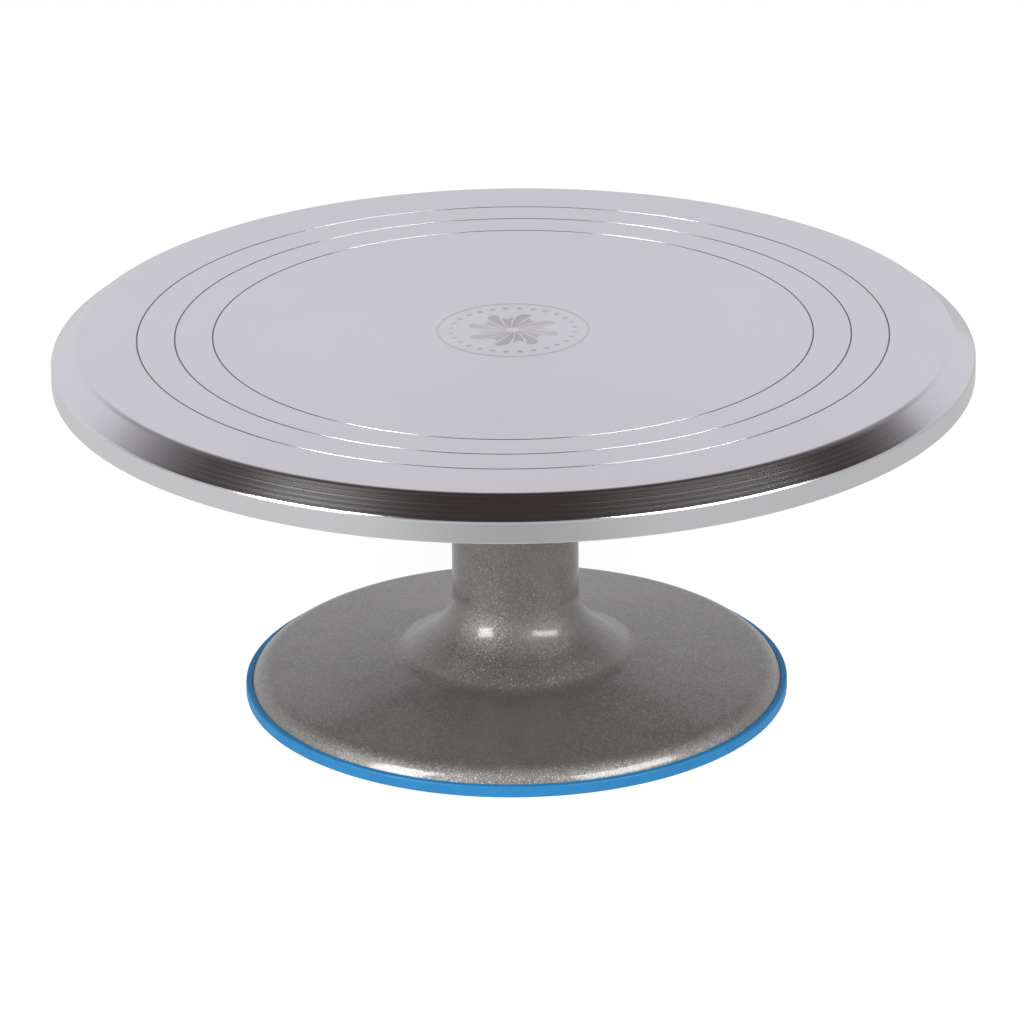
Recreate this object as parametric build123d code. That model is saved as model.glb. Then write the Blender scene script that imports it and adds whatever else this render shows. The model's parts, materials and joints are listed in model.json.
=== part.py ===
"""Cake turntable: a bevelled aluminium plate that spins on an enamelled cast pedestal.

Millimetres, +Z up. The origin is on the floor, at the centre of the foot ring. Each function
returns one sub-part in its place in the assembly.
"""
from build123d import *
from math import asin, degrees, radians, sin
import os

# Plate
PLATE_RADIUS = 152.5
PLATE_TOP = 127.6
RIM_DEPTH = 13.5
BEVEL_INNER_RADIUS = 144.6
BEVEL_INNER_ROUND = 3.5
BEVEL_DEPTH = 6.2
BAND_TOP_ROUND = 1.6
BAND_FOOT_ROUND = 0.4
WEB_THICKNESS = 6.0
RIM_INNER_RADIUS = 139.0
RIM_FILLET = 2.5
BOSS_RADIUS = 38.0
BOSS_THICKNESS = 8.0
BOSS_FILLET = 1.2
GROOVE_RADII = [99.0, 111.5, 124.0]
GROOVE_SECTION_RADIUS = 0.25

# Pedestal casting
COLUMN_TOP = 110.0
COLUMN_TOP_RADIUS = 21.0
COLUMN_FOOT_RADIUS = 21.3
COLUMN_TOP_ROUND = 1.5
THROAT_START_HEIGHT = 35.6
THROAT_RADIUS = 17.0
THROAT_SLOPE = 50.0
FLARE_RADIUS = 26.0
FLARE_SLOPE = 37.0
FLARE_STRAIGHT = 8.8
TOE_RADIUS = 11.0
CONE_SLOPE = 6.5
CONE_END_RADIUS = 82.8
RIM_ROUND = 8.0
RIM_SIDE_RADIUS = 89.8
WALL = 4.5
HOLLOW_RADIUS = 79.5
RIB_COUNT = 6
RIB_THICKNESS = 4.0
RIB_INNER_RADIUS = 18.0
RIB_FOOT = 3.0
SHOULDER_THICKNESS = 8.0
SHOULDER_BORE_RADIUS = 13.5

# Foot ring
RING_OUTER_RADIUS = 91.4
RING_HEIGHT = 3.9
RING_PAD = 1.5
RING_LIP_FOOT_RADIUS = 90.05
RING_LIP_TOP_RADIUS = 89.3
RING_INNER_RADIUS = 78.0
RING_INNER_HEIGHT = 2.8
RING_FIT_GAP = 0.1
RING_EDGE_ROUND = 0.5

# Bearings: two 15 x 32 x 9 deep-groove ball bearings
BEARING_BORE = 15.0
BEARING_OUTER = 32.0
BEARING_WIDTH = 9.0
LOWER_BEARING_BASE = 57.0
UPPER_BEARING_BASE = 97.0
BALL_COUNT = 9
BALL_DIAMETER = 4.762
PITCH_DIAMETER = 23.5
RACE_CLEARANCE = 0.02
RACE_CONFORMITY = 0.52
INNER_LAND_RADIUS = 10.2
OUTER_LAND_RADIUS = 13.3
SHIELD_SEAT_RADIUS = 14.2
SHIELD_SEAT_DEPTH = 1.0
SHIELD_THICKNESS = 0.4
SHIELD_RECESS = 0.3
SHIELD_GAP = 0.2
CAGE_INNER_RADIUS = 10.9
CAGE_OUTER_RADIUS = 12.6
CAGE_HALF_WIDTH = 3.2
CAGE_POCKET_GAP = 0.08
RING_CHAMFER = 0.4

# Spindle, spacers and retaining rings
SPINDLE_RADIUS = BEARING_BORE / 2
SPINDLE_FOOT = 53.0
SPINDLE_CHAMFER = 1.0
INNER_SPACER_RADIUS = 9.4
OUTER_SPACER_RADIUS = 14.2
PRELOAD_THICKNESS = 0.8
PRELOAD_INNER_RADIUS = 13.7
PRELOAD_OUTER_RADIUS = 15.8
BORE_CLIP_THICKNESS = 1.2
BORE_CLIP_INNER_RADIUS = 13.8
BORE_CLIP_OUTER_RADIUS = 16.7
BORE_CLIP_GROOVE_RADIUS = 16.8
BORE_CLIP_GAP = 8.0
BORE_CLIP_LUG_CIRCLE = 13.6
SPINDLE_CLIP_THICKNESS = 1.0
SPINDLE_CLIP_INNER_RADIUS = 7.0
SPINDLE_CLIP_OUTER_RADIUS = 9.2
SPINDLE_CLIP_GROOVE_RADIUS = 6.9
SPINDLE_CLIP_GAP = 4.0
SPINDLE_CLIP_LUG_CIRCLE = 9.3
CLIP_LUG_RADIUS = 1.6
CLIP_LUG_HOLE_RADIUS = 0.75
CLIP_OPENING_REACH = 4.0

# Hub flange and its screws
FLANGE_RADIUS = 34.0
FLANGE_THICKNESS = 5.0
HUB_SHOULDER_RADIUS = 20.0
HUB_SHOULDER_GAP = 1.0
NECK_RADIUS = 9.6
SPIGOT_RADIUS = 10.0
SPIGOT_HEIGHT = 2.0
SPINDLE_SOCKET_CAP = 1.0
FLANGE_CHAMFER = 0.8
SCREW_COUNT = 4
SCREW_CIRCLE_RADIUS = 27.0
SCREW_RADIUS = 2.5
SCREW_LENGTH = 12.0
SCREW_HOLE_RADIUS = 2.75
SCREW_TAP_DEPTH = 6.5
SCREW_HEAD_RADIUS = 4.75
SCREW_HEAD_HEIGHT = 2.75
SCREW_HEAD_CROWN_RADIUS = 2.4
SCREW_HEAD_EDGE = 0.6
SCREW_HEAD_CURVE = 4.5
SCREW_TIP_CHAMFER = 0.6
HEX_SOCKET_ACROSS_FLATS = 3.0
HEX_SOCKET_DEPTH = 1.6
WASHER_RADIUS = 5.0
WASHER_THICKNESS = 1.0

# Dust cap and bore plug
DUST_CAP_SEAT_RADIUS = 18.6
DUST_CAP_THICKNESS = 1.4
DUST_CAP_BORE_RADIUS = 10.1
DUST_CAP_LIP_HEIGHT = 0.6
DUST_CAP_LIP_RADIUS = 12.0
PLUG_FLANGE_RADIUS = 15.6
PLUG_FLANGE_THICKNESS = 2.0
PLUG_SKIRT_HEIGHT = 3.5
PLUG_SKIRT_WALL = 1.6

# Worked out from the sizes above
BEARING_OUTER_RADIUS = BEARING_OUTER / 2
BALL_RADIUS = BALL_DIAMETER / 2
PITCH_RADIUS = PITCH_DIAMETER / 2
WEB_UNDERSIDE = PLATE_TOP - WEB_THICKNESS
BOSS_UNDERSIDE = PLATE_TOP - BOSS_THICKNESS
RIM_UNDERSIDE = PLATE_TOP - RIM_DEPTH
FLANGE_UNDERSIDE = BOSS_UNDERSIDE - FLANGE_THICKNESS
UPPER_BEARING_TOP = UPPER_BEARING_BASE + BEARING_WIDTH
LOWER_BEARING_TOP = LOWER_BEARING_BASE + BEARING_WIDTH
SHOULDER_UNDERSIDE = LOWER_BEARING_BASE - SHOULDER_THICKNESS
CLIP_GROOVE_BASE = UPPER_BEARING_TOP + PRELOAD_THICKNESS
DUST_CAP_BASE = COLUMN_TOP - DUST_CAP_THICKNESS
SHOULDER_BASE = COLUMN_TOP + HUB_SHOULDER_GAP
SPIGOT_TOP = BOSS_UNDERSIDE + SPIGOT_HEIGHT
SPINDLE_TOP = SPIGOT_TOP - SPINDLE_SOCKET_CAP
SCREW_SEAT = FLANGE_UNDERSIDE - WASHER_THICKNESS


def turned(outline):
    """Revolve a face drawn as (radius, height) about the Z axis."""
    return revolve(Plane.XZ * outline, Axis.Z)


def outline(*points):
    """A face with straight sides through (radius, height) points."""
    return make_face(Polyline(*points, close=True))


def tube(inner, outer, low, high):
    """A plain ring or sleeve."""
    return turned(outline((inner, low), (outer, low), (outer, high), (inner, high)))


def rounded(face, radius, height, size):
    """Round the corner of a face that lies at a given radius and height."""
    corner = face.vertices().sort_by_distance((radius, height, 0))[0]
    return fillet(corner, size)


def chamfered(face, radius, height, size):
    """Chamfer the corner of a face that lies at a given radius and height."""
    corner = face.vertices().sort_by_distance((radius, height, 0))[0]
    return chamfer(corner, size)


def around(shape, count, radius):
    """Copies of a shape, evenly spaced on a circle, as separate solids."""
    return [place * shape for place in PolarLocations(radius, count)]


# ---------------------------------------------------------------- plate and hub


def turntable_plate():
    band_top = PLATE_TOP - BEVEL_DEPTH
    face = outline(
        (0, BOSS_UNDERSIDE),
        (BOSS_RADIUS, BOSS_UNDERSIDE),
        (BOSS_RADIUS, WEB_UNDERSIDE),
        (RIM_INNER_RADIUS, WEB_UNDERSIDE),
        (RIM_INNER_RADIUS, RIM_UNDERSIDE),
        (PLATE_RADIUS, RIM_UNDERSIDE),
        (PLATE_RADIUS, band_top),
        (BEVEL_INNER_RADIUS, PLATE_TOP),
        (0, PLATE_TOP),
    )
    face = rounded(face, BEVEL_INNER_RADIUS, PLATE_TOP, BEVEL_INNER_ROUND)
    face = rounded(face, PLATE_RADIUS, band_top, BAND_TOP_ROUND)
    face = rounded(face, PLATE_RADIUS, RIM_UNDERSIDE, BAND_FOOT_ROUND)
    face = rounded(face, RIM_INNER_RADIUS, WEB_UNDERSIDE, RIM_FILLET)
    face = rounded(face, BOSS_RADIUS, WEB_UNDERSIDE, BOSS_FILLET)
    plate = turned(face)
    for radius in GROOVE_RADII:
        plate -= Pos(0, 0, PLATE_TOP) * Torus(radius, GROOVE_SECTION_RADIUS)
    plate -= tube(0, SPIGOT_RADIUS, BOSS_UNDERSIDE, BOSS_UNDERSIDE + SPIGOT_HEIGHT)
    tapped_hole = tube(0, SCREW_RADIUS, BOSS_UNDERSIDE, BOSS_UNDERSIDE + SCREW_TAP_DEPTH)
    plate -= around(tapped_hole, SCREW_COUNT, SCREW_CIRCLE_RADIUS)
    return plate


def hub_flange():
    face = outline(
        (0, UPPER_BEARING_TOP),
        (NECK_RADIUS, UPPER_BEARING_TOP),
        (NECK_RADIUS, SHOULDER_BASE),
        (HUB_SHOULDER_RADIUS, SHOULDER_BASE),
        (HUB_SHOULDER_RADIUS, FLANGE_UNDERSIDE),
        (FLANGE_RADIUS, FLANGE_UNDERSIDE),
        (FLANGE_RADIUS, BOSS_UNDERSIDE),
        (SPIGOT_RADIUS, BOSS_UNDERSIDE),
        (SPIGOT_RADIUS, SPIGOT_TOP),
        (0, SPIGOT_TOP),
    )
    face = chamfered(face, FLANGE_RADIUS, FLANGE_UNDERSIDE, FLANGE_CHAMFER)
    face = chamfered(face, HUB_SHOULDER_RADIUS, SHOULDER_BASE, FLANGE_CHAMFER)
    hub = turned(face)
    hub -= tube(0, SPINDLE_RADIUS, UPPER_BEARING_TOP, SPINDLE_TOP)
    screw_hole = tube(0, SCREW_HOLE_RADIUS, FLANGE_UNDERSIDE, BOSS_UNDERSIDE)
    hub -= around(screw_hole, SCREW_COUNT, SCREW_CIRCLE_RADIUS)
    return hub


def flange_screws():
    """Button-head screws, put in from below."""
    crown = SCREW_SEAT - SCREW_HEAD_HEIGHT
    head_curve = RadiusArc(
        (SCREW_HEAD_CROWN_RADIUS, crown),
        (SCREW_HEAD_RADIUS, SCREW_SEAT - SCREW_HEAD_EDGE),
        SCREW_HEAD_CURVE,
    )
    head_sides = Polyline(
        head_curve @ 1,
        (SCREW_HEAD_RADIUS, SCREW_SEAT),
        (SCREW_RADIUS, SCREW_SEAT),
        (SCREW_RADIUS, SCREW_SEAT + SCREW_LENGTH - SCREW_TIP_CHAMFER),
        (SCREW_RADIUS - SCREW_TIP_CHAMFER, SCREW_SEAT + SCREW_LENGTH),
        (0, SCREW_SEAT + SCREW_LENGTH),
        (0, crown),
        head_curve @ 0,
    )
    screw = turned(make_face([head_curve] + head_sides.edges()))
    hexagon = RegularPolygon(HEX_SOCKET_ACROSS_FLATS / 2, 6, major_radius=False)
    screw -= extrude(Pos(0, 0, crown) * hexagon, HEX_SOCKET_DEPTH)
    return Compound(around(screw, SCREW_COUNT, SCREW_CIRCLE_RADIUS))


def flange_washers():
    washer = tube(SCREW_HOLE_RADIUS, WASHER_RADIUS, SCREW_SEAT, FLANGE_UNDERSIDE)
    return Compound(around(washer, SCREW_COUNT, SCREW_CIRCLE_RADIUS))


# ---------------------------------------------------------------- pedestal


def pedestal_curve(inset, end_radius):
    """Column, throat, flare, toe and cone as one smooth curve that ends at end_radius.

    The inset moves the curve into the metal, so the same curve draws the outside of the
    casting, its hollow and the top of its ribs.
    """
    column = Line(
        (COLUMN_TOP_RADIUS - inset, COLUMN_TOP),
        (COLUMN_FOOT_RADIUS - inset, THROAT_START_HEIGHT),
    )
    throat = JernArc(column @ 1, (0, -1), THROAT_RADIUS + inset, 90 - THROAT_SLOPE)
    flare = JernArc(throat @ 1, throat % 1, FLARE_RADIUS + inset, THROAT_SLOPE - FLARE_SLOPE)
    slope = Line(flare @ 1, flare @ 1 + (flare % 1) * FLARE_STRAIGHT)
    toe = JernArc(slope @ 1, slope % 1, TOE_RADIUS + inset, FLARE_SLOPE - CONE_SLOPE)
    cone_run = (end_radius - (toe @ 1).X) / (toe % 1).X
    cone = Line(toe @ 1, toe @ 1 + (toe % 1) * cone_run)
    return [column, throat, flare, slope, toe, cone]


def base_casting():
    outside = pedestal_curve(0, CONE_END_RADIUS)
    hollow = pedestal_curve(WALL, HOLLOW_RADIUS)
    rim_centre = CONE_END_RADIUS - RIM_ROUND * sin(radians(CONE_SLOPE))
    rim_slope = degrees(asin((RIM_SIDE_RADIUS - rim_centre) / RIM_ROUND))
    rim = JernArc(outside[-1] @ 1, outside[-1] % 1, RIM_ROUND, CONE_SLOPE - rim_slope)
    foot = Polyline(
        rim @ 1,
        (RIM_SIDE_RADIUS, RING_PAD),
        (HOLLOW_RADIUS, RING_PAD),
        hollow[-1] @ 1,
    )
    groove_top = CLIP_GROOVE_BASE + BORE_CLIP_THICKNESS
    bore = Polyline(
        hollow[1] @ 0,
        (COLUMN_FOOT_RADIUS - WALL, SHOULDER_UNDERSIDE),
        (SHOULDER_BORE_RADIUS, SHOULDER_UNDERSIDE),
        (SHOULDER_BORE_RADIUS, LOWER_BEARING_BASE),
        (BEARING_OUTER_RADIUS, LOWER_BEARING_BASE),
        (BEARING_OUTER_RADIUS, CLIP_GROOVE_BASE),
        (BORE_CLIP_GROOVE_RADIUS, CLIP_GROOVE_BASE),
        (BORE_CLIP_GROOVE_RADIUS, groove_top),
        (BEARING_OUTER_RADIUS, groove_top),
        (BEARING_OUTER_RADIUS, DUST_CAP_BASE),
        (DUST_CAP_SEAT_RADIUS, DUST_CAP_BASE),
        (DUST_CAP_SEAT_RADIUS, COLUMN_TOP),
        outside[0] @ 0,
    )
    edges = outside + [rim] + foot.edges() + hollow[1:] + bore.edges()
    face = rounded(make_face(edges), COLUMN_TOP_RADIUS, COLUMN_TOP, COLUMN_TOP_ROUND)
    return turned(face) + ribs()


def ribs():
    """Radial ribs under the cone, from RIB_FOOT up into the middle of the wall."""
    roof = pedestal_curve(WALL / 2, HOLLOW_RADIUS + WALL / 2)
    sides = Polyline(
        roof[-1] @ 1,
        (HOLLOW_RADIUS + WALL / 2, RIB_FOOT),
        (RIB_INNER_RADIUS, RIB_FOOT),
        (RIB_INNER_RADIUS, THROAT_START_HEIGHT),
        roof[1] @ 0,
    )
    web = Plane.XZ * make_face(roof[1:] + sides.edges())
    rib = extrude(web, RIB_THICKNESS / 2, both=True)
    return [Rot(0, 0, (index + 0.5) * 360 / RIB_COUNT) * rib for index in range(RIB_COUNT)]


def foot_ring():
    """Silicone channel that grips the casting's rim."""
    inner_lip = HOLLOW_RADIUS - RING_FIT_GAP
    face = outline(
        (RING_INNER_RADIUS, 0),
        (RING_OUTER_RADIUS, 0),
        (RING_OUTER_RADIUS, RING_HEIGHT),
        (RING_LIP_TOP_RADIUS, RING_HEIGHT),
        (RING_LIP_FOOT_RADIUS, RING_PAD),
        (inner_lip, RING_PAD),
        (inner_lip, RING_INNER_HEIGHT),
        (RING_INNER_RADIUS, RING_INNER_HEIGHT),
    )
    face = rounded(face, RING_OUTER_RADIUS, 0, RING_EDGE_ROUND)
    face = rounded(face, RING_OUTER_RADIUS, RING_HEIGHT, RING_EDGE_ROUND)
    return turned(face)


# ---------------------------------------------------------------- bearings


def raceway(height, outward):
    """Torus that cuts the ball track, in the outer ring if outward is 1, the inner if -1."""
    track_radius = RACE_CONFORMITY * BALL_DIAMETER
    track_bottom = PITCH_RADIUS + outward * (BALL_RADIUS + RACE_CLEARANCE)
    centre = track_bottom - outward * track_radius
    return turned(Pos(centre, height) * Circle(track_radius))


def inner_ring(base):
    top = base + BEARING_WIDTH
    face = outline(
        (SPINDLE_RADIUS, base),
        (INNER_LAND_RADIUS, base),
        (INNER_LAND_RADIUS, top),
        (SPINDLE_RADIUS, top),
    )
    face = chamfered(face, SPINDLE_RADIUS, base, RING_CHAMFER)
    face = chamfered(face, SPINDLE_RADIUS, top, RING_CHAMFER)
    return turned(face) - raceway(base + BEARING_WIDTH / 2, -1)


def outer_ring(base):
    top = base + BEARING_WIDTH
    face = outline(
        (SHIELD_SEAT_RADIUS, base),
        (BEARING_OUTER_RADIUS, base),
        (BEARING_OUTER_RADIUS, top),
        (SHIELD_SEAT_RADIUS, top),
        (SHIELD_SEAT_RADIUS, top - SHIELD_SEAT_DEPTH),
        (OUTER_LAND_RADIUS, top - SHIELD_SEAT_DEPTH),
        (OUTER_LAND_RADIUS, base + SHIELD_SEAT_DEPTH),
        (SHIELD_SEAT_RADIUS, base + SHIELD_SEAT_DEPTH),
    )
    face = chamfered(face, BEARING_OUTER_RADIUS, base, RING_CHAMFER)
    face = chamfered(face, BEARING_OUTER_RADIUS, top, RING_CHAMFER)
    return turned(face) - raceway(base + BEARING_WIDTH / 2, 1)


def bearing_balls(base):
    ball = Pos(0, 0, base + BEARING_WIDTH / 2) * Sphere(BALL_RADIUS)
    return Compound(around(ball, BALL_COUNT, PITCH_RADIUS))


def bearing_cage(base):
    middle = base + BEARING_WIDTH / 2
    cage = tube(
        CAGE_INNER_RADIUS, CAGE_OUTER_RADIUS, middle - CAGE_HALF_WIDTH, middle + CAGE_HALF_WIDTH
    )
    pocket_radius = BALL_RADIUS + CAGE_POCKET_GAP
    pocket = Pos(0, 0, middle) * Rot(0, 90, 0) * Cylinder(pocket_radius, 2 * pocket_radius)
    return cage - around(pocket, BALL_COUNT, PITCH_RADIUS)


def bearing_shields(base):
    inner = INNER_LAND_RADIUS + SHIELD_GAP
    low = base + SHIELD_RECESS
    high = base + BEARING_WIDTH - SHIELD_RECESS
    bottom = tube(inner, SHIELD_SEAT_RADIUS, low, low + SHIELD_THICKNESS)
    top = tube(inner, SHIELD_SEAT_RADIUS, high - SHIELD_THICKNESS, high)
    return Compound([bottom, top])


# ---------------------------------------------------------------- spindle and column fittings


def spindle():
    clip_groove_base = LOWER_BEARING_BASE - SPINDLE_CLIP_THICKNESS
    face = outline(
        (0, SPINDLE_FOOT),
        (SPINDLE_RADIUS, SPINDLE_FOOT),
        (SPINDLE_RADIUS, clip_groove_base),
        (SPINDLE_CLIP_GROOVE_RADIUS, clip_groove_base),
        (SPINDLE_CLIP_GROOVE_RADIUS, LOWER_BEARING_BASE),
        (SPINDLE_RADIUS, LOWER_BEARING_BASE),
        (SPINDLE_RADIUS, SPINDLE_TOP),
        (0, SPINDLE_TOP),
    )
    return turned(chamfered(face, SPINDLE_RADIUS, SPINDLE_FOOT, SPINDLE_CHAMFER))


def inner_spacer():
    return tube(SPINDLE_RADIUS, INNER_SPACER_RADIUS, LOWER_BEARING_TOP, UPPER_BEARING_BASE)


def outer_spacer():
    return tube(OUTER_SPACER_RADIUS, BEARING_OUTER_RADIUS, LOWER_BEARING_TOP, UPPER_BEARING_BASE)


def preload_washer():
    return tube(PRELOAD_INNER_RADIUS, PRELOAD_OUTER_RADIUS, UPPER_BEARING_TOP, CLIP_GROOVE_BASE)


def retaining_ring(inner, outer, low, thickness, gap, lug_circle):
    """Open ring with a plier lug and hole on each side of its gap."""
    high = low + thickness
    ring = tube(inner, outer, low, high)
    for side in (-1, 1):
        angle = side * degrees(asin((gap / 2 + CLIP_LUG_RADIUS) / lug_circle))
        lug_place = Rot(0, 0, angle) * Pos(lug_circle, 0, 0)
        ring += lug_place * tube(0, CLIP_LUG_RADIUS, low, high)
        ring -= lug_place * tube(0, CLIP_LUG_HOLE_RADIUS, low, high)
    opening = Pos(lug_circle, 0, low + thickness / 2) * Box(2 * CLIP_OPENING_REACH, gap, thickness)
    return ring - opening


def bore_circlip():
    return retaining_ring(
        BORE_CLIP_INNER_RADIUS,
        BORE_CLIP_OUTER_RADIUS,
        CLIP_GROOVE_BASE,
        BORE_CLIP_THICKNESS,
        BORE_CLIP_GAP,
        BORE_CLIP_LUG_CIRCLE,
    )


def spindle_circlip():
    return retaining_ring(
        SPINDLE_CLIP_INNER_RADIUS,
        SPINDLE_CLIP_OUTER_RADIUS,
        LOWER_BEARING_BASE - SPINDLE_CLIP_THICKNESS,
        SPINDLE_CLIP_THICKNESS,
        SPINDLE_CLIP_GAP,
        SPINDLE_CLIP_LUG_CIRCLE,
    )


def dust_cap():
    """Flat ring in the mouth of the column, with a raised lip round the hub's neck."""
    lip_top = COLUMN_TOP + DUST_CAP_LIP_HEIGHT
    return turned(outline(
        (DUST_CAP_BORE_RADIUS, DUST_CAP_BASE),
        (DUST_CAP_SEAT_RADIUS, DUST_CAP_BASE),
        (DUST_CAP_SEAT_RADIUS, COLUMN_TOP),
        (DUST_CAP_LIP_RADIUS, COLUMN_TOP),
        (DUST_CAP_BORE_RADIUS, lip_top),
    ))


def bore_plug():
    """Push-in cup that closes the bearing bore from below."""
    skirt_top = SHOULDER_UNDERSIDE + PLUG_SKIRT_HEIGHT
    skirt_inner = SHOULDER_BORE_RADIUS - PLUG_SKIRT_WALL
    return turned(outline(
        (0, SHOULDER_UNDERSIDE - PLUG_FLANGE_THICKNESS),
        (PLUG_FLANGE_RADIUS, SHOULDER_UNDERSIDE - PLUG_FLANGE_THICKNESS),
        (PLUG_FLANGE_RADIUS, SHOULDER_UNDERSIDE),
        (SHOULDER_BORE_RADIUS, SHOULDER_UNDERSIDE),
        (SHOULDER_BORE_RADIUS, skirt_top),
        (skirt_inner, skirt_top),
        (skirt_inner, SHOULDER_UNDERSIDE),
        (0, SHOULDER_UNDERSIDE),
    ))


# ---------------------------------------------------------------- assembly

parts = {
    "turntable_plate": turntable_plate(),
    "hub_flange": hub_flange(),
    "flange_screws": flange_screws(),
    "flange_washers": flange_washers(),
    "spindle": spindle(),
    "inner_spacer": inner_spacer(),
    "spindle_circlip": spindle_circlip(),
    "base_casting": base_casting(),
    "foot_ring": foot_ring(),
    "outer_spacer": outer_spacer(),
    "preload_washer": preload_washer(),
    "bore_circlip": bore_circlip(),
    "dust_cap": dust_cap(),
    "bore_plug": bore_plug(),
}
for side, base in (("upper", UPPER_BEARING_BASE), ("lower", LOWER_BEARING_BASE)):
    parts[f"{side}_inner_ring"] = inner_ring(base)
    parts[f"{side}_outer_ring"] = outer_ring(base)
    parts[f"{side}_cage"] = bearing_cage(base)
    parts[f"{side}_balls"] = bearing_balls(base)
    parts[f"{side}_shields"] = bearing_shields(base)

os.makedirs("parts", exist_ok=True)
for name, shape in parts.items():
    export_step(shape, f"parts/{name}.step")
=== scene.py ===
import json
import math

import bmesh
import bpy
from mathutils import Matrix, Vector


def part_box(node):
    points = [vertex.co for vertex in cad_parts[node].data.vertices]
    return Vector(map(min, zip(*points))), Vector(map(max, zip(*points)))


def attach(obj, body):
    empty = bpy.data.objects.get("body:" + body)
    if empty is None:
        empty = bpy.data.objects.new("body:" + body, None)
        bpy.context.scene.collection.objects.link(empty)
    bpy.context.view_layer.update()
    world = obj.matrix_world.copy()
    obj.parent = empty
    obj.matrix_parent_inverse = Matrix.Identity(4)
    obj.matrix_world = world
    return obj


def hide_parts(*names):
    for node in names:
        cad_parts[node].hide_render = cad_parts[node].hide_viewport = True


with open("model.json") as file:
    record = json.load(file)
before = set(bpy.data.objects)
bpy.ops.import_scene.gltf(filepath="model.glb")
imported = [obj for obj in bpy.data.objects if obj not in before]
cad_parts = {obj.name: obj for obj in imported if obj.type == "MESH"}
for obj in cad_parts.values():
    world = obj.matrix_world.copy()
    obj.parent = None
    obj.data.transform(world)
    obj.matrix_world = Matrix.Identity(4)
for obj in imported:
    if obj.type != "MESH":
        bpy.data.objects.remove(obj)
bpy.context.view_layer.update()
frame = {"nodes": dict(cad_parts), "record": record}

MM = 0.001

# ---------------------------------------------------------------- sizes

PLATE_LOW, PLATE_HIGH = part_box("turntable_plate")
BASE_LOW, BASE_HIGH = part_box("base_casting")
RING_LOW, RING_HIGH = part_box("foot_ring")
PLATE_RADIUS = min(PLATE_HIGH.x, PLATE_HIGH.y, -PLATE_LOW.x, -PLATE_LOW.y)
PLATE_TOP = PLATE_HIGH.z
PLATE_FOOT = PLATE_LOW.z
BEVEL_DEPTH = 6.2 * MM
BEVEL_INNER = 144.6 * MM
BEVEL_INNER_ROUND = 3.5 * MM
BAND_TOP_ROUND = 1.6 * MM
BAND_FOOT_ROUND = 0.4 * MM
WEB_UNDERSIDE = PLATE_TOP - 6 * MM
BOSS_UNDERSIDE = PLATE_TOP - 8 * MM
BOSS_RADIUS = 38 * MM
RIM_INNER = 139 * MM
SPIGOT_RADIUS = 10 * MM
SPIGOT_DEPTH = 2 * MM
GROOVE_RADII = (99 * MM, 111.5 * MM, 124 * MM)
GROOVE_SECTION = 0.25 * MM
GROOVE_LIP = 0.05 * MM
GROOVE_ROUGH = 0.22
BEVEL_ROUGH = 0.015
BEVEL_ROUGH_STREAK = 0.065

COLUMN_TOP = BASE_HIGH.z
COLUMN_TOP_RADIUS = 21 * MM
COLUMN_FOOT_RADIUS = 21.3 * MM
THROAT_START = 35.6 * MM
THROAT_RADIUS = 17 * MM
THROAT_SLOPE = 50.0
FLARE_RADIUS = 26 * MM
FLARE_SLOPE = 37.0
FLARE_STRAIGHT = 8.8 * MM
TOE_RADIUS = 11 * MM
CONE_SLOPE = 6.5
CONE_END = 82.8 * MM
RIM_ROUND = 8 * MM
RIM_SIDE = min(BASE_HIGH.x, BASE_HIGH.y, -BASE_LOW.x, -BASE_LOW.y)
WALL = 4.5 * MM
HOLLOW_RADIUS = 79.5 * MM
BEARING_OUTER = 16 * MM
SHOULDER_BORE = 13.5 * MM
SHOULDER_TOP = 57 * MM
SHOULDER_UNDERSIDE = 49 * MM
DUST_SEAT_RADIUS = 18.6 * MM
DUST_SEAT = COLUMN_TOP - 1.4 * MM
RIB_COUNT = 6
RIB_HALF = 2 * MM
RIB_INNER = 18 * MM
RIB_FOOT = 3 * MM

RING_RADIUS = min(RING_HIGH.x, RING_HIGH.y, -RING_LOW.x, -RING_LOW.y)
RING_HEIGHT = RING_HIGH.z
RING_PAD = 1.5 * MM
RING_LIP_FOOT = 90.05 * MM
RING_LIP_TOP = 89.25 * MM
RING_INNER = 78 * MM
RING_INNER_LIP = 79.4 * MM
RING_INNER_HEIGHT = 2.8 * MM

EMBLEM_RADIUS = 25 * MM
RING_LINE = 0.45 * MM
EMBLEM_DOTS = 28
DOT_CIRCLE = 20.5 * MM
DOT_RADIUS = 1.0 * MM
ROSETTE_RADIUS = 13 * MM
ROSETTE_SCALLOP = 2.6 * MM
ROSETTE_CORE = 2.2 * MM
ROSETTE_PETALS = 8
ROSETTE_TWIST = 170.0
ETCH_EDGE = 0.12 * MM

# Sines of the elevations between which the room's pale walls fade into the dark ceiling.
WALL_TOP = 0.55
WALL_FULL = 0.43
DARK_ROOM = (0.036, 0.028, 0.026)
PALE_WALL = (0.48, 0.47, 0.49)
WHITE_BACKDROP = (0.685, 0.67, 0.705)

LENS = 199.6
CAMERA_DISTANCE = 1.758
CAMERA_ABOVE_PLATE = 0.6513
CAMERA_YAW = 0.031
CAMERA_PITCH = -22.166
CAMERA_ROLL = -0.616
LIGHT_TARGET_HEIGHT = 0.06

ROUND_STEPS = 384
ARC_STEP = 4.0
HOLD = 0.06 * MM


# ---------------------------------------------------------------- outlines and lathe work


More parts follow.
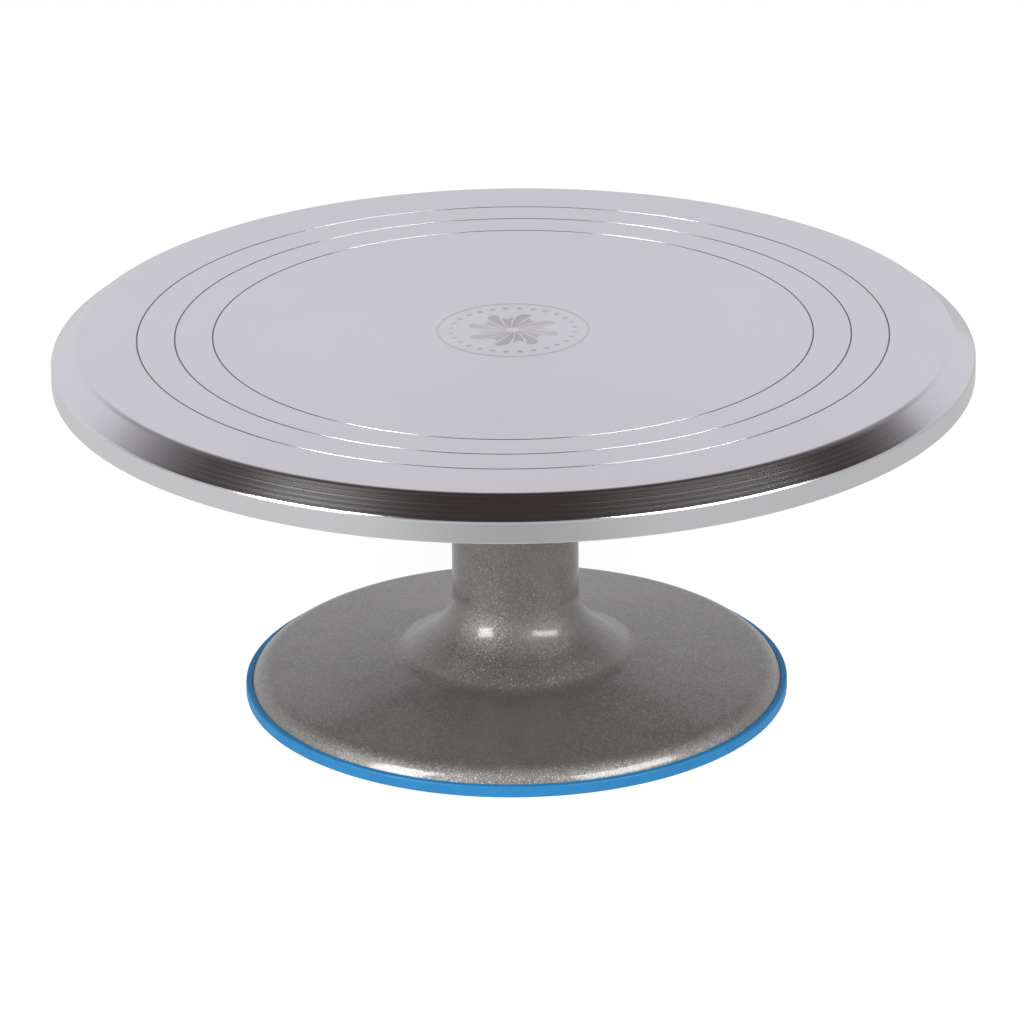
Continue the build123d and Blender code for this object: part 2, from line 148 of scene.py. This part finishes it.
class Outline:
    """A path of (radius, height) points drawn by moving and turning, as a draughtsman would."""

    def __init__(self, radius, height, heading=0.0):
        self.points = [(radius, height)]
        self.heading = math.radians(heading)

    def to(self, radius, height):
        """Straight line to a point."""
        last = self.points[-1]
        self.heading = math.atan2(height - last[1], radius - last[0])
        self.points.append((radius, height))
        return self

    def ahead(self, length):
        last = self.points[-1]
        radius = last[0] + length * math.cos(self.heading)
        height = last[1] + length * math.sin(self.heading)
        return self.to(radius, height)

    def arc(self, radius, degrees, step=ARC_STEP):
        """Arc tangent to the path so far. Positive degrees turn left."""
        side = math.copysign(1.0, degrees)
        start = self.points[-1]
        centre = (
            start[0] - side * radius * math.sin(self.heading),
            start[1] + side * radius * math.cos(self.heading),
        )
        count = max(2, math.ceil(abs(degrees) / step))
        for index in range(1, count + 1):
            turned = self.heading + math.radians(degrees) * index / count
            self.points.append((
                centre[0] + side * radius * math.sin(turned),
                centre[1] - side * radius * math.cos(turned),
            ))
        self.heading += math.radians(degrees)
        return self


def softened(points, corners):
    """Round chosen corners of a closed outline. corners maps a point's index to its radius.

    A point just outside each end of a round keeps the flat beside it shading flat.
    """
    made = []
    for index, point in enumerate(points):
        radius = corners.get(index)
        if radius is None:
            made.append(point)
            continue
        here = Vector(point)
        before = Vector(points[index - 1])
        after = Vector(points[(index + 1) % len(points)])
        back = (before - here).normalized()
        on = (after - here).normalized()
        half = math.acos(max(-1.0, min(1.0, back.dot(on)))) / 2
        reach = radius / math.tan(half)
        first = here + back * reach
        last = here + on * reach
        centre = here + (back + on).normalized() * (radius / math.sin(half))
        turn = math.pi - 2 * half
        steps = max(3, math.ceil(math.degrees(turn) / 9))
        start = first - centre
        end = last - centre
        made.append(tuple(first + back * HOLD))
        for step in range(steps + 1):
            share = step / steps
            weight = math.sin((1 - share) * turn), math.sin(share * turn)
            spot = centre + (start * weight[0] + end * weight[1]) / math.sin(turn)
            made.append((spot.x, spot.y))
        made.append(tuple(last + on * HOLD))
    return made


def lathe(name, outline, sharp_angle=24.0, steps=ROUND_STEPS):
    """Turn a closed outline, listed anticlockwise in (radius, height), into a smooth round mesh."""
    mesh = bpy.data.meshes.new(name)
    work = bmesh.new()
    rings = []
    for radius, height in outline:
        if radius < 1e-7:
            rings.append([work.verts.new((0.0, 0.0, height))] * steps)
            continue
        ring = []
        for index in range(steps):
            angle = 2 * math.pi * index / steps
            ring.append(work.verts.new((radius * math.cos(angle), radius * math.sin(angle), height)))
        rings.append(ring)
    count = len(outline)
    for index in range(count):
        low, high = rings[index], rings[(index + 1) % count]
        if low[0] == low[1] and high[0] == high[1]:
            continue
        for step in range(steps):
            beside = (step + 1) % steps
            corners = [low[step], low[beside], high[beside], high[step]]
            face = work.faces.new(list(dict.fromkeys(corners)))
            face.smooth = True
    limit = math.radians(sharp_angle)
    for index in range(count):
        here = Vector(outline[index])
        incoming = here - Vector(outline[index - 1])
        outgoing = Vector(outline[(index + 1) % count]) - here
        if rings[index][0] == rings[index][1] or incoming.angle(outgoing) < limit:
            continue
        ring = rings[index]
        for step in range(steps):
            edge = work.edges.get((ring[step], ring[(step + 1) % steps]))
            if edge:
                edge.smooth = False
    bmesh.ops.recalc_face_normals(work, faces=work.faces)
    work.to_mesh(mesh)
    work.free()
    piece = bpy.data.objects.new(name, mesh)
    bpy.context.scene.collection.objects.link(piece)
    return piece


# ---------------------------------------------------------------- pieces


def groove_section(radius):
    """Half-round groove with a tiny rounded lip each side, from the outer side to the inner."""
    section = Outline(radius + GROOVE_SECTION + GROOVE_LIP + HOLD, PLATE_TOP, 180)
    section.ahead(HOLD)
    section.arc(GROOVE_LIP, 75, 25)
    section.arc(GROOVE_SECTION, -150, 15)
    section.arc(GROOVE_LIP, 75, 25)
    section.ahead(HOLD)
    return section.points


def turned_plate():
    """The plate: flat top with three grooves, bevel, band and recessed underside."""
    band_top = PLATE_TOP - BEVEL_DEPTH
    points = [
        (0, BOSS_UNDERSIDE + SPIGOT_DEPTH),
        (SPIGOT_RADIUS, BOSS_UNDERSIDE + SPIGOT_DEPTH),
        (SPIGOT_RADIUS, BOSS_UNDERSIDE),
        (BOSS_RADIUS, BOSS_UNDERSIDE),
        (BOSS_RADIUS, WEB_UNDERSIDE),
        (RIM_INNER, WEB_UNDERSIDE),
        (RIM_INNER, PLATE_FOOT),
        (PLATE_RADIUS, PLATE_FOOT),
        (PLATE_RADIUS, band_top),
        (BEVEL_INNER, PLATE_TOP),
    ]
    corners = {
        3: 0.5 * MM,
        4: 1.2 * MM,
        5: 2.5 * MM,
        6: 0.6 * MM,
        7: BAND_FOOT_ROUND,
        8: BAND_TOP_ROUND,
        9: BEVEL_INNER_ROUND,
    }
    for radius in reversed(GROOVE_RADII):
        points += groove_section(radius)
    points += [(60 * MM, PLATE_TOP), (20 * MM, PLATE_TOP), (0, PLATE_TOP)]
    return lathe("plate_turned", softened(points, corners), sharp_angle=30.0)


def pedestal_path(inset, end_radius):
    """The pedestal's curve from the column down to end_radius, moved into the metal by inset."""
    path = Outline(COLUMN_TOP_RADIUS - inset, COLUMN_TOP)
    path.to(COLUMN_FOOT_RADIUS - inset, THROAT_START)
    path.heading = -math.pi / 2
    path.arc(THROAT_RADIUS + inset, 90 - THROAT_SLOPE, 2)
    path.arc(FLARE_RADIUS + inset, THROAT_SLOPE - FLARE_SLOPE, 2)
    path.ahead(FLARE_STRAIGHT)
    path.arc(TOE_RADIUS + inset, FLARE_SLOPE - CONE_SLOPE, 2)
    return path.ahead((end_radius - path.points[-1][0]) / math.cos(path.heading))


def pedestal():
    """The enamelled casting: column, flare, shallow cone and rounded rim over a ribbed hollow."""
    outside = pedestal_path(0, CONE_END)
    rim_centre = CONE_END - RIM_ROUND * math.sin(math.radians(CONE_SLOPE))
    rim_slope = math.degrees(math.asin((RIM_SIDE - rim_centre) / RIM_ROUND))
    outside.arc(RIM_ROUND, CONE_SLOPE - rim_slope, 3)
    hollow = pedestal_path(WALL, HOLLOW_RADIUS).points[1:]
    top = [
        (SHOULDER_BORE, SHOULDER_UNDERSIDE),
        (SHOULDER_BORE, SHOULDER_TOP),
        (BEARING_OUTER, SHOULDER_TOP),
        (BEARING_OUTER, DUST_SEAT),
        (DUST_SEAT_RADIUS, DUST_SEAT),
        (DUST_SEAT_RADIUS, COLUMN_TOP),
    ]
    loop = outside.points + [(RIM_SIDE, RING_PAD), (HOLLOW_RADIUS, RING_PAD)]
    loop += list(reversed(hollow)) + [(COLUMN_FOOT_RADIUS - WALL, SHOULDER_UNDERSIDE)] + top
    loop = softened(loop, {0: 1.5 * MM})
    piece = lathe("pedestal_enamelled", loop, sharp_angle=30.0)
    add_ribs(piece)
    return piece


def add_ribs(piece):
    """Six radial ribs under the cone, sunk a little into its wall."""
    roof = pedestal_path(WALL * 0.7, HOLLOW_RADIUS + WALL * 0.3).points[1:]
    side = [(RIB_INNER, THROAT_START)] + [p for p in roof if p[0] > RIB_INNER]
    side += [(roof[-1][0], RIB_FOOT), (RIB_INNER, RIB_FOOT)]
    work = bmesh.new()
    work.from_mesh(piece.data)
    for index in range(RIB_COUNT):
        turn = Matrix.Rotation(2 * math.pi * (index + 0.5) / RIB_COUNT, 4, "Z")
        left = [work.verts.new(turn @ Vector((r, RIB_HALF, z))) for r, z in side]
        right = [work.verts.new(turn @ Vector((r, -RIB_HALF, z))) for r, z in side]
        faces = [work.faces.new(left), work.faces.new(list(reversed(right)))]
        for step in range(len(side)):
            beside = (step + 1) % len(side)
            faces.append(work.faces.new((left[step], right[step], right[beside], left[beside])))
        bmesh.ops.recalc_face_normals(work, faces=faces)
    work.to_mesh(piece.data)
    work.free()


def silicone_ring():
    points = [
        (RING_INNER, 0),
        (RING_RADIUS, 0),
        (RING_RADIUS, RING_HEIGHT),
        (RING_LIP_TOP, RING_HEIGHT),
        (RING_LIP_FOOT, RING_PAD),
        (RING_INNER_LIP, RING_PAD),
        (RING_INNER_LIP, RING_INNER_HEIGHT),
        (RING_INNER, RING_INNER_HEIGHT),
    ]
    corners = {0: 0.4 * MM, 1: 0.5 * MM, 2: 0.6 * MM, 3: 0.15 * MM, 6: 0.3 * MM, 7: 0.3 * MM}
    return lathe("ring_silicone", softened(points, corners), sharp_angle=40.0)


# ---------------------------------------------------------------- material helpers


class Graph:
    """Short names for building a material's or the world's node tree."""

    def __init__(self, tree):
        self.tree = tree
        tree.nodes.clear()

    def add(self, kind, inputs=None, **settings):
        node = self.tree.nodes.new(kind)
        for name, value in settings.items():
            setattr(node, name, value)
        for name, value in (inputs or {}).items():
            socket = node.inputs[name]
            if isinstance(value, bpy.types.NodeSocket):
                self.tree.links.new(value, socket)
            else:
                socket.default_value = value
        return node

    def math(self, operation, first, second=0.0, third=0.0):
        node = self.add("ShaderNodeMath", {0: first, 1: second, 2: third}, operation=operation)
        return node.outputs[0]

    def vector(self, operation, first, second=(0, 0, 0), output=0):
        node = self.add("ShaderNodeVectorMath", {0: first, 1: second}, operation=operation)
        return node.outputs[output]

    def scaled(self, vector, factor):
        node = self.add("ShaderNodeVectorMath", {0: vector, "Scale": factor}, operation="SCALE")
        return node.outputs[0]

    def ramp(self, value, low, high, start=0.0, end=1.0, smooth=True):
        kind = "SMOOTHSTEP" if smooth else "LINEAR"
        inputs = {"Value": value, "From Min": low, "From Max": high, "To Min": start, "To Max": end}
        return self.add("ShaderNodeMapRange", inputs, interpolation_type=kind).outputs[0]

    def blend(self, share, first, second):
        node = self.add("ShaderNodeMix", data_type="RGBA")
        for index, value in ((0, share), (6, first), (7, second)):
            if isinstance(value, bpy.types.NodeSocket):
                self.tree.links.new(value, node.inputs[index])
            elif index:
                node.inputs[index].default_value = (*value, 1.0)
            else:
                node.inputs[index].default_value = value
        return node.outputs[2]

    def noise(self, vector, scale, detail=2.0):
        inputs = {"Vector": vector, "Scale": scale, "Detail": detail}
        return self.add("ShaderNodeTexNoise", inputs).outputs["Fac"]

    def lines(self, along, scale, detail=2.0):
        """Noise in one dimension."""
        inputs = {"W": along, "Scale": scale, "Detail": detail}
        return self.add("ShaderNodeTexNoise", inputs, noise_dimensions="1D").outputs["Fac"]

    def bump(self, height, distance, strength=1.0):
        inputs = {"Height": height, "Distance": distance, "Strength": strength}
        return self.add("ShaderNodeBump", inputs).outputs[0]

    def surface(self, shader):
        output = "ShaderNodeOutputWorld" if isinstance(self.tree.id_data, bpy.types.World) else None
        self.add(output or "ShaderNodeOutputMaterial", {"Surface": shader.outputs[0]})


def new_material(name):
    material = bpy.data.materials.new(name)
    material.use_nodes = True
    return material, Graph(material.node_tree)


def place(graph):
    return graph.add("ShaderNodeTexCoord").outputs["Object"]


def turned_coordinates(graph):
    """Position, distance from the turning axis, and distance along the cut."""
    spot = place(graph)
    flat = graph.vector("MULTIPLY", spot, (1, 1, 0))
    radius = graph.vector("LENGTH", flat, output=1)
    height = graph.add("ShaderNodeSeparateXYZ", {0: spot}).outputs[2]
    return spot, radius, graph.math("SUBTRACT", radius, height)


# ---------------------------------------------------------------- materials


def emblem_mask(graph, spot, radius):
    """A plain piped rosette inside a ring of dots and a thin circle, etched at the plate's centre."""
    parts = graph.add("ShaderNodeSeparateXYZ", {0: spot}).outputs
    angle = graph.math("ARCTAN2", parts[1], parts[0])
    twist = graph.math("MULTIPLY", angle, ROSETTE_PETALS)
    wave = graph.math("COSINE", graph.math("MULTIPLY_ADD", radius, ROSETTE_TWIST, twist))
    edge = graph.math("MULTIPLY_ADD", wave, ROSETTE_SCALLOP, ROSETTE_RADIUS)
    petals = graph.ramp(graph.math("SUBTRACT", edge, radius), -ETCH_EDGE, ETCH_EDGE)
    veins = graph.ramp(graph.math("ABSOLUTE", wave), 0.2, 0.36)
    core = graph.ramp(radius, ROSETTE_CORE - ETCH_EDGE, ROSETTE_CORE + ETCH_EDGE)
    rosette = graph.math("MULTIPLY", graph.math("MULTIPLY", petals, veins), core)
    off_ring = graph.math("ABSOLUTE", graph.math("SUBTRACT", radius, EMBLEM_RADIUS))
    ring = graph.ramp(off_ring, RING_LINE + ETCH_EDGE, RING_LINE - ETCH_EDGE)
    turn = graph.math("FRACT", graph.math("MULTIPLY", angle, EMBLEM_DOTS / (2 * math.pi)))
    dot_spacing = 2 * math.pi * DOT_CIRCLE / EMBLEM_DOTS
    around = graph.math("MULTIPLY", graph.math("SUBTRACT", turn, 0.5), dot_spacing)
    outward = graph.math("SUBTRACT", radius, DOT_CIRCLE)
    from_dot = graph.add("ShaderNodeCombineXYZ", {0: around, 1: outward}).outputs[0]
    reach = graph.vector("LENGTH", from_dot, output=1)
    dots = graph.ramp(reach, DOT_RADIUS + ETCH_EDGE, DOT_RADIUS - ETCH_EDGE)
    return graph.math("MAXIMUM", graph.math("MAXIMUM", rosette, ring), dots)


def turned_aluminium():
    material, graph = new_material("turned_aluminium")
    spot, radius, cut = turned_coordinates(graph)
    fine = graph.lines(cut, 5200.0, 3.0)
    coarse = graph.lines(cut, 1500.0, 3.0)
    cloud = graph.noise(spot, 18.0, 3.0)
    mark = emblem_mask(graph, spot, radius)
    height_up = graph.add("ShaderNodeSeparateXYZ", {0: spot}).outputs[2]
    on_top = graph.ramp(height_up, PLATE_TOP - 0.1 * MM, PLATE_TOP - 0.05 * MM)
    mark = graph.math("MULTIPLY", mark, on_top)
    # Mask of the insides of the three grooves: it darkens their colour as painted shade and makes them
    # rougher.
    below_top = graph.ramp(height_up, PLATE_TOP - 0.02 * MM, PLATE_TOP - 0.08 * MM)
    above_web = graph.ramp(height_up, PLATE_TOP - 0.6 * MM, PLATE_TOP - 0.4 * MM)
    in_groove = graph.math("MULTIPLY", below_top, above_web)
    off_bevel = graph.ramp(radius, BEVEL_INNER - 5 * MM, BEVEL_INNER - 6 * MM)
    in_groove = graph.math("MULTIPLY", in_groove, off_bevel)
    tone = graph.ramp(fine, 0.25, 0.75, 0.0, 1.0, smooth=False)
    colour = graph.blend(tone, (0.84, 0.84, 0.86), (0.90, 0.90, 0.92))
    colour = graph.blend(graph.ramp(cloud, 0.3, 0.7, 0.0, 0.25), colour, (0.80, 0.80, 0.82))
    colour = graph.blend(graph.math("MULTIPLY", mark, 0.6), colour, (0.68, 0.665, 0.65))
    # Underside inside the rim: rougher, and darker in colour; the darkening is partly a duller finish
    # and partly painted shade under the plate.
    below = graph.ramp(height_up, PLATE_TOP - 4 * MM, PLATE_TOP - 5 * MM)
    inside = graph.math("MULTIPLY", below, graph.ramp(radius, RIM_INNER + 1 * MM, RIM_INNER))
    colour = graph.blend(inside, colour, (0.32, 0.315, 0.31))
    # Painted shade: the insides of the grooves are darkened in colour to stand in for the shade within
    # them.
    colour = graph.blend(in_groove, colour, (0.20, 0.197, 0.20))
    rough = graph.math("MULTIPLY_ADD", coarse, 0.10, 0.10)
    rough = graph.math("MULTIPLY_ADD", mark, 0.12, rough)
    rough = graph.math("MULTIPLY_ADD", inside, 0.35, rough)
    past_flat = graph.ramp(radius, BEVEL_INNER - 1 * MM, BEVEL_INNER)
    above_band = graph.ramp(height_up, PLATE_TOP - 7 * MM, PLATE_TOP - 6 * MM)
    on_bevel = graph.math("MULTIPLY", past_flat, above_band)
    streaks = graph.ramp(graph.lines(cut, 420.0, 3.0), 0.3, 0.7, BEVEL_ROUGH, BEVEL_ROUGH_STREAK)
    rough = graph.math("MULTIPLY_ADD", on_bevel, streaks, rough)
    rough = graph.math("MULTIPLY_ADD", in_groove, GROOVE_ROUGH, rough)
    height = graph.math("MULTIPLY_ADD", fine, 0.35, coarse)
    tangent = graph.add("ShaderNodeTangent", direction_type="RADIAL", axis="Z").outputs[0]
    graph.surface(graph.add("ShaderNodeBsdfPrincipled", {
        "Base Color": colour,
        "Metallic": 1.0,
        "Roughness": rough,
        "Anisotropic": 0.7,
        "Anisotropic Rotation": 0.25,
        "Tangent": tangent,
        "Normal": graph.bump(height, 0.006 * MM, 0.6),
    }))
    return material


def flake_enamel():
    """Grey enamel full of fine metal flake, each flake tilted its own way, under a glossy coat."""
    material, graph = new_material("flake_enamel")
    spot = place(graph)
    cells = graph.add("ShaderNodeTexVoronoi", {"Vector": spot, "Scale": 3000.0}).outputs["Color"]
    lean = graph.vector("SUBTRACT", cells, (0.5, 0.5, 0.5))
    tilt = graph.scaled(lean, graph.math("MULTIPLY", graph.vector("LENGTH", lean, output=1), 0.74))
    face = graph.add("ShaderNodeNewGeometry").outputs["Normal"]
    flake_normal = graph.vector("NORMALIZE", graph.vector("ADD", face, tilt))
    pick = graph.add("ShaderNodeSeparateColor", {0: cells}).outputs[1]
    cloud = graph.noise(spot, 60.0, 3.0)
    ground = graph.blend(graph.ramp(cloud, 0.3, 0.7), (0.215, 0.207, 0.196), (0.25, 0.24, 0.228))
    colour = graph.blend(graph.ramp(pick, 0.6, 1.0), ground, (0.36, 0.345, 0.32))
    peel = graph.noise(spot, 1100.0, 1.0)
    graph.surface(graph.add("ShaderNodeBsdfPrincipled", {
        "Base Color": colour,
        "Metallic": 0.85,
        "Roughness": 0.53,
        "Normal": flake_normal,
        "Coat Weight": 1.0,
        "Coat Roughness": 0.14,
        "Coat IOR": 1.5,
        "Coat Normal": graph.bump(peel, 0.012 * MM, 1.0),
    }))
    return material


def blue_silicone():
    material, graph = new_material("blue_silicone")
    spot = place(graph)
    mottle = graph.noise(spot, 90.0, 4.0)
    grain = graph.noise(spot, 2600.0, 2.0)
    colour = graph.blend(graph.ramp(mottle, 0.3, 0.7), (0.004, 0.160, 0.380), (0.007, 0.178, 0.405))
    graph.surface(graph.add("ShaderNodeBsdfPrincipled", {
        "Base Color": colour,
        "Roughness": graph.ramp(grain, 0.2, 0.8, 0.42, 0.6),
        "Specular IOR Level": 0.45,
        "Normal": graph.bump(grain, 0.01 * MM, 0.5),
    }))
    return material


def turned_steel(name, colour, roughness, anisotropy=0.5):
    """Round steel parts turned about the spindle's axis."""
    material, graph = new_material(name)
    spot, _, cut = turned_coordinates(graph)
    lines = graph.lines(cut, 3200.0, 3.0)
    stain = graph.noise(spot, 140.0, 3.0)
    stained = tuple(0.78 * part for part in colour)
    shade = graph.blend(graph.ramp(stain, 0.3, 0.75, 0.0, 0.5), colour, stained)
    tangent = graph.add("ShaderNodeTangent", direction_type="RADIAL", axis="Z").outputs[0]
    graph.surface(graph.add("ShaderNodeBsdfPrincipled", {
        "Base Color": shade,
        "Metallic": 1.0,
        "Roughness": graph.ramp(lines, 0.2, 0.8, roughness - 0.06, roughness + 0.06),
        "Anisotropic": anisotropy,
        "Anisotropic Rotation": 0.25,
        "Tangent": tangent,
        "Normal": graph.bump(lines, 0.006 * MM, 0.5),
    }))
    return material


def plated_steel(name, colour, roughness):
    """Small pressed or rolled steel parts, plated or blackened."""
    material, graph = new_material(name)
    spot = place(graph)
    patch = graph.noise(spot, 380.0, 4.0)
    grain = graph.noise(spot, 2400.0, 2.0)
    shade = graph.blend(graph.ramp(patch, 0.3, 0.7), colour, tuple(0.8 * part for part in colour))
    graph.surface(graph.add("ShaderNodeBsdfPrincipled", {
        "Base Color": shade,
        "Metallic": 1.0,
        "Roughness": graph.ramp(patch, 0.25, 0.75, roughness - 0.05, roughness + 0.1),
        "Normal": graph.bump(grain, 0.008 * MM, 0.5),
    }))
    return material


def moulded_plastic(name, colour, roughness):
    material, graph = new_material(name)
    spot = place(graph)
    grain = graph.noise(spot, 3000.0, 3.0)
    patch = graph.noise(spot, 120.0, 2.0)
    shade = graph.blend(graph.ramp(patch, 0.3, 0.7), colour, tuple(0.85 * part for part in colour))
    graph.surface(graph.add("ShaderNodeBsdfPrincipled", {
        "Base Color": shade,
        "Roughness": graph.ramp(grain, 0.2, 0.8, roughness - 0.08, roughness + 0.08),
        "Normal": graph.bump(grain, 0.012 * MM, 0.6),
    }))
    return material


# ---------------------------------------------------------------- studio


def camera():
    """Long lens, a little above the plate, looking down at the foot."""
    data = bpy.data.cameras.new("camera")
    data.sensor_width = 36.0
    data.lens = LENS
    data.clip_start = 0.05
    data.clip_end = 50.0
    rig = bpy.data.objects.new("camera", data)
    bpy.context.scene.collection.objects.link(rig)
    turn = Matrix.Rotation(math.radians(CAMERA_YAW), 4, "Z")
    tip = Matrix.Rotation(math.radians(90 + CAMERA_PITCH), 4, "X")
    roll = Matrix.Rotation(math.radians(CAMERA_ROLL), 4, "Z")
    spot = Matrix.Translation((0, -CAMERA_DISTANCE, PLATE_TOP + CAMERA_ABOVE_PLATE))
    rig.matrix_world = spot @ turn @ tip @ roll
    bpy.context.scene.camera = rig


def sheet_of(name, width, depth, material):
    mesh = bpy.data.meshes.new(name)
    x, y = width / 2, depth / 2
    mesh.from_pydata([(-x, -y, 0), (x, -y, 0), (x, y, 0), (-x, y, 0)], [], [(0, 1, 2, 3)])
    mesh.materials.append(material)
    obj = bpy.data.objects.new(name, mesh)
    bpy.context.scene.collection.objects.link(obj)
    return obj


def floor():
    """A pale floor for the camera, and a second one with a soft gradient that only reflections see."""
    material, graph = new_material("pale_floor")
    lit = graph.add("ShaderNodeBsdfDiffuse", {"Color": (0.34, 0.34, 0.34, 1.0)})
    glow = graph.add("ShaderNodeEmission", {"Color": (1, 1, 1, 1), "Strength": 0.82})
    graph.surface(graph.add("ShaderNodeAddShader", {0: lit.outputs[0], 1: glow.outputs[0]}))
    seen = sheet_of("floor", 12, 12, material)
    seen.location.z = -0.2 * MM
    seen.visible_glossy = False
    material, graph = new_material("floor_in_reflections")
    spot = place(graph)
    parts = graph.add("ShaderNodeSeparateXYZ", {0: spot}).outputs
    from_front = graph.vector("SUBTRACT", spot, (0, -0.55, 0))
    reach = graph.vector("LENGTH", graph.vector("MULTIPLY", from_front, (1, 0.8, 0)), output=1)
    level = graph.ramp(reach, 0.05, 0.3, 0.385, 0.585)
    level = graph.math("MULTIPLY", level, graph.ramp(parts[0], -1.2, 1.2, 1.15, 0.85))
    graph.surface(graph.add("ShaderNodeEmission", {"Color": (1, 1, 1, 1), "Strength": level}))
    mirrored = sheet_of("floor_in_reflections", 12, 12, material)
    mirrored.location.z = -0.3 * MM
    mirrored.visible_camera = False
    mirrored.visible_diffuse = False
    mirrored.visible_shadow = False


def surroundings():
    """A white backdrop behind the object, wider on the left, and pale walls under a dark ceiling."""
    world = bpy.data.worlds.new("studio")
    bpy.context.scene.world = world
    world.use_nodes = True
    graph = Graph(world.node_tree)
    way = graph.add("ShaderNodeTexCoord").outputs["Generated"]
    parts = graph.add("ShaderNodeSeparateXYZ", {0: way}).outputs
    level_way = graph.vector("NORMALIZE", graph.vector("MULTIPLY", way, (1, 1, 0)))
    sides = graph.add("ShaderNodeSeparateXYZ", {0: level_way}).outputs
    behind = graph.math("MULTIPLY_ADD", sides[0], -0.11, sides[1])
    backdrop_side = graph.ramp(behind, 0.3, 0.73)
    backdrop_height = graph.ramp(parts[2], 0.25, 0.85, 1.0, 0.0)
    share = graph.math("MULTIPLY", backdrop_side, backdrop_height)
    share = graph.math("MULTIPLY", share, graph.math("MULTIPLY_ADD", sides[0], -0.14, 1.0))
    walls = graph.ramp(parts[2], WALL_TOP, WALL_FULL)
    room = graph.blend(walls, DARK_ROOM, PALE_WALL)
    colour = graph.blend(share, room, WHITE_BACKDROP)
    graph.surface(graph.add("ShaderNodeBackground", {"Color": colour, "Strength": 1.0}))


def softbox(name, azimuth, elevation, radiance, width, height, distance=1.5):
    """Azimuth is measured from the camera's side, positive to the right."""
    data = bpy.data.lights.new(name, "AREA")
    data.shape = "RECTANGLE"
    data.size, data.size_y = width, height
    data.energy = radiance * math.pi * width * height
    lamp = bpy.data.objects.new(name, data)
    bpy.context.scene.collection.objects.link(lamp)
    around = math.radians(azimuth)
    up = math.radians(elevation)
    way = Vector((math.sin(around) * math.cos(up), -math.cos(around) * math.cos(up), math.sin(up)))
    lamp.location = way * distance + Vector((0, 0, LIGHT_TARGET_HEIGHT))
    lamp.rotation_euler = way.to_track_quat("Z", "Y").to_euler()


# ---------------------------------------------------------------- assembly

camera()
floor()
surroundings()
softbox("softbox_left", -53, 31, 12.5, 0.59, 0.86)
softbox("softbox_right", 50, 33, 9.2, 1.08, 0.58)
bpy.context.scene.view_settings.view_transform = "Standard"

aluminium = turned_aluminium()
enamel = flake_enamel()
silicone = blue_silicone()
for piece, node, body, slot, material in (
    (turned_plate(), "turntable_plate", "turntable", "plate_aluminium", aluminium),
    (pedestal(), "base_casting", "base", "enamel", enamel),
    (silicone_ring(), "foot_ring", "base", "silicone", silicone),
):
    piece.data.materials.append(material)
    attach(piece, body)
    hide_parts(node)

steel = {
    "hub_steel": turned_steel("hub_steel_turned", (0.58, 0.58, 0.60), 0.34),
    "spindle_steel": turned_steel("spindle_steel_ground", (0.66, 0.66, 0.67), 0.22),
    "bearing_steel": turned_steel("bearing_steel_polished", (0.70, 0.70, 0.72), 0.14),
    "zinc_steel": plated_steel("zinc_plated_steel", (0.68, 0.68, 0.65), 0.3),
    "spring_steel": plated_steel("blackened_spring_steel", (0.09, 0.085, 0.08), 0.35),
    "cage_nylon": moulded_plastic("cage_nylon_natural", (0.62, 0.56, 0.42), 0.45),
    "black_plastic": moulded_plastic("black_plastic_matt", (0.022, 0.022, 0.023), 0.5),
}
for row in frame["record"]["subparts"]:
    if row["material_slot"] in steel:
        for holder in frame["nodes"][row["node"]].material_slots:
            holder.material = steel[row["material_slot"]]
